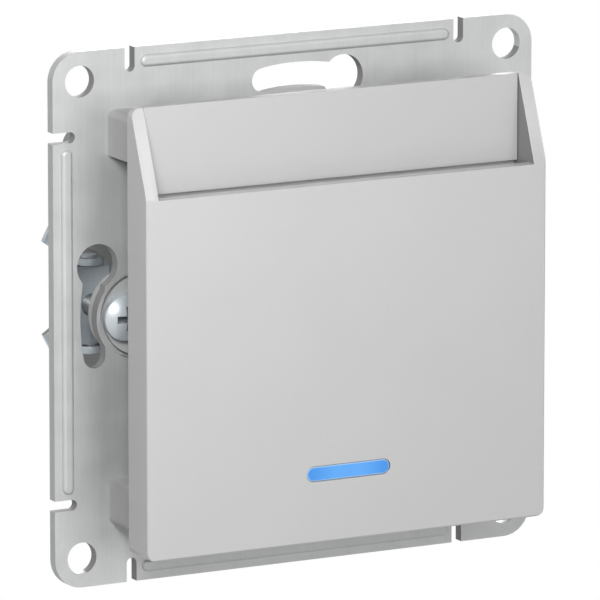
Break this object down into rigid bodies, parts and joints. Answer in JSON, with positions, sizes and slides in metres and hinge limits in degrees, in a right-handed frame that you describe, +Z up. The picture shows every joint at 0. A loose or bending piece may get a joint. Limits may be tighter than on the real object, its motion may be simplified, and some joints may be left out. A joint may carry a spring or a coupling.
{
  "type": "hotel key card switch",
  "caption": "Flush-mounted key card switch: a square plate with keyhole slots and claws, a pull-off cover with a slanted card mouth and a lit window, and a sprung lever on a microswitch.",
  "frame": {"origin": "centre of the mounting plate's back face, on the wall", "axes": "+X to the right seen from the front, +Y into the wall, +Z up"},
  "size_m": [0.071, 0.0437, 0.071],
  "materials": {
    "zinc_sheet": "satin zinc plating",
    "zinc_screw": "bright zinc plating",
    "spring_steel": "drawn wire",
    "silver_plastic": "satin aluminium-grey lacquer",
    "grey_plastic": "fine matt",
    "carrier_plastic": "fine matt",
    "white_plastic": "smooth moulded",
    "black_plastic": "smooth moulded",
    "red_plastic": "smooth moulded",
    "blue_lens": "translucent, lit blue",
    "lamp_lens": "clear epoxy",
    "board": "green solder mask",
    "relay_case": "smooth moulded",
    "capacitor_sleeve": "shrunk sleeve",
    "film_case": "smooth moulded",
    "resistor_coat": "lacquered",
    "brass": "tinned brass edges"
  },
  "bodies": {
    "base": {"mounting_plate": "zinc_sheet", "housing": "grey_plastic", "rear_cover": "grey_plastic", "rear_cover_screws": "zinc_screw", "carrier_frame": "carrier_plastic", "carrier_screws": "zinc_screw", "card_guide": "silver_plastic", "lever_pin": "zinc_screw", "lever_spring": "spring_steel", "spring_seat": "white_plastic", "circuit_board": "board", "relay": "relay_case", "smoothing_capacitor": "capacitor_sleeve", "film_capacitor": "film_case", "resistors": "resistor_coat", "switch_body": "black_plastic", "lamp": "lamp_lens", "busbar_1": "brass", "busbar_2": "brass", "busbar_3": "brass", "busbar_4": "brass"},
    "cover": {"front_cover": "silver_plastic", "light_guide": "blue_lens"},
    "lever": {"card_lever": "white_plastic"},
    "plunger": {"switch_plunger": "red_plastic"},
    "left_claw_screw": {"left_claw_screw": "zinc_screw"},
    "left_claw_nut": {"left_claw_nut": "zinc_sheet"},
    "left_claw": {"left_claw": "zinc_sheet"},
    "right_claw_screw": {"right_claw_screw": "zinc_screw"},
    "right_claw_nut": {"right_claw_nut": "zinc_sheet"},
    "right_claw": {"right_claw": "zinc_sheet"},
    "terminal_screw_1": {"terminal_screw_1": "zinc_screw"},
    "terminal_cage_1": {"terminal_cage_1": "brass"},
    "terminal_screw_2": {"terminal_screw_2": "zinc_screw"},
    "terminal_cage_2": {"terminal_cage_2": "brass"},
    "terminal_screw_3": {"terminal_screw_3": "zinc_screw"},
    "terminal_cage_3": {"terminal_cage_3": "brass"},
    "terminal_screw_4": {"terminal_screw_4": "zinc_screw"},
    "terminal_cage_4": {"terminal_cage_4": "brass"}
  },
  "joints": [
    {"name": "cover_pull", "type": "slide", "parent": "base", "child": "cover", "axis": [0, -1, 0], "range_m": [0, 0.03]},
    {"name": "lever_press", "type": "hinge", "parent": "base", "child": "lever", "pos_m": [0, -0.00793, 0.005], "axis": [1, 0, 0], "range_deg": [0, 12], "stiffness_Nm_per_rad": 0.02, "springref_deg": -17.19, "deforming": ["lever_spring"]},
    {"name": "plunger_travel", "type": "slide", "parent": "base", "child": "plunger", "axis": [0, 1, 0], "range_m": [0, 0.00126]},
    {"name": "left_claw_nut_travel", "type": "slide", "parent": "base", "child": "left_claw_nut", "axis": [0, -1, 0], "range_m": [0, 0.004]},
    {"name": "left_claw_screw_turn", "type": "hinge", "parent": "base", "child": "left_claw_screw", "pos_m": [-0.0254, 0, 0], "axis": [0, 1, 0], "range_deg": [0, 2880]},
    {"name": "left_claw_swing", "type": "hinge", "parent": "left_claw_nut", "child": "left_claw", "pos_m": [-0.0254, 0.0085, 0], "axis": [0, 0, 1], "range_deg": [0, 25]},
    {"name": "right_claw_nut_travel", "type": "slide", "parent": "base", "child": "right_claw_nut", "axis": [0, -1, 0], "range_m": [0, 0.004]},
    {"name": "right_claw_screw_turn", "type": "hinge", "parent": "base", "child": "right_claw_screw", "pos_m": [0.0254, 0, 0], "axis": [0, 1, 0], "range_deg": [0, 2880]},
    {"name": "right_claw_swing", "type": "hinge", "parent": "right_claw_nut", "child": "right_claw", "pos_m": [0.0254, 0.0085, 0], "axis": [0, 0, -1], "range_deg": [0, 25]},
    {"name": "terminal_cage_1_lift", "type": "slide", "parent": "base", "child": "terminal_cage_1", "axis": [0, 0, -1], "range_m": [0, 0.003]},
    {"name": "terminal_screw_1_turn", "type": "hinge", "parent": "base", "child": "terminal_screw_1", "pos_m": [-0.0135, 0.019, -0.019], "axis": [0, 0, 1], "range_deg": [0, 2160]},
    {"name": "terminal_cage_2_lift", "type": "slide", "parent": "base", "child": "terminal_cage_2", "axis": [0, 0, -1], "range_m": [0, 0.003]},
    {"name": "terminal_screw_2_turn", "type": "hinge", "parent": "base", "child": "terminal_screw_2", "pos_m": [-0.0045, 0.019, -0.019], "axis": [0, 0, 1], "range_deg": [0, 2160]},
    {"name": "terminal_cage_3_lift", "type": "slide", "parent": "base", "child": "terminal_cage_3", "axis": [0, 0, -1], "range_m": [0, 0.003]},
    {"name": "terminal_screw_3_turn", "type": "hinge", "parent": "base", "child": "terminal_screw_3", "pos_m": [0.0045, 0.019, -0.019], "axis": [0, 0, 1], "range_deg": [0, 2160]},
    {"name": "terminal_cage_4_lift", "type": "slide", "parent": "base", "child": "terminal_cage_4", "axis": [0, 0, -1], "range_m": [0, 0.003]},
    {"name": "terminal_screw_4_turn", "type": "hinge", "parent": "base", "child": "terminal_screw_4", "pos_m": [0.0135, 0.019, -0.019], "axis": [0, 0, 1], "range_deg": [0, 2160]}
  ],
  "couplings": [
    {"joint": "plunger_travel", "follows": "lever_press", "m_per_rad": 0.006},
    {"joint": "left_claw_screw_turn", "follows": "left_claw_nut_travel", "rad_per_m": 12566},
    {"joint": "left_claw_swing", "follows": "left_claw_nut_travel", "rad_per_m": 109},
    {"joint": "right_claw_screw_turn", "follows": "right_claw_nut_travel", "rad_per_m": 12566},
    {"joint": "right_claw_swing", "follows": "right_claw_nut_travel", "rad_per_m": 109},
    {"joint": "terminal_screw_1_turn", "follows": "terminal_cage_1_lift", "rad_per_m": 12566},
    {"joint": "terminal_screw_2_turn", "follows": "terminal_cage_2_lift", "rad_per_m": 12566},
    {"joint": "terminal_screw_3_turn", "follows": "terminal_cage_3_lift", "rad_per_m": 12566},
    {"joint": "terminal_screw_4_turn", "follows": "terminal_cage_4_lift", "rad_per_m": 12566}
  ]
}
